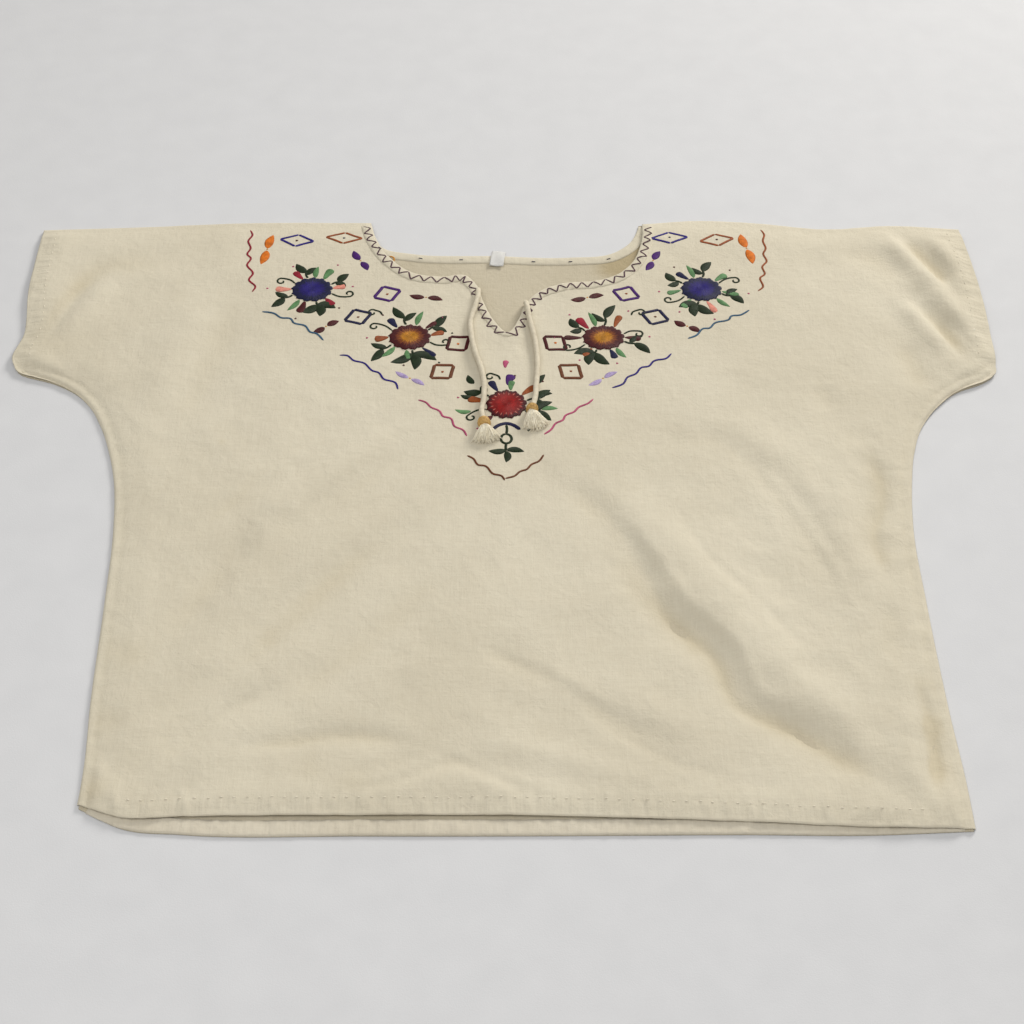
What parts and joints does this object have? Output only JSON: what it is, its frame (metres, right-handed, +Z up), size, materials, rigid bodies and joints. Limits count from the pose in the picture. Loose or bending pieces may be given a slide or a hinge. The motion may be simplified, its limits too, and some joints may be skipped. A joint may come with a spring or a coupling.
{
  "type": "embroidered peasant blouse",
  "caption": "Cotton blouse laid flat: cap sleeves cut in one with the body, drawstring neck with a slit, tassels and a flower-embroidered yoke.",
  "frame": {"origin": "middle of the blouse's outline, on the surface it lies on", "axes": "+X along the shoulders to the right in the front view, +Y from the hem to the shoulders, +Z up, out of the front"},
  "size_m": [0.8092, 0.6313, 0.0195],
  "materials": {
    "cotton": "matte plain-woven cotton, slightly crinkled",
    "turned_cotton": "matte plain-woven cotton, inside face",
    "label": "woven tape, bare",
    "cord": "soft twisted cotton cord",
    "gold_thread": "wound embroidery thread, slight sheen",
    "tassel_yarn": "fluffy cotton yarn",
    "embroidery_thread": "coloured embroidery thread, slight sheen"
  },
  "bodies": {
    "root": {"body_front": "cotton", "body_back": "cotton", "hem_front": "turned_cotton", "hem_back": "turned_cotton", "sleeve_hem_left_front": "turned_cotton", "sleeve_hem_left_back": "turned_cotton", "sleeve_hem_right_front": "turned_cotton", "sleeve_hem_right_back": "turned_cotton", "neck_casing_back": "turned_cotton", "neck_casing_front_left": "turned_cotton", "neck_casing_front_right": "turned_cotton", "neck_label": "label", "drawstring_left": "cord", "drawstring_right": "cord", "thread_cap_left": "gold_thread", "thread_cap_right": "gold_thread", "tassel_left": "tassel_yarn", "tassel_right": "tassel_yarn"}
  },
  "joints": []
}
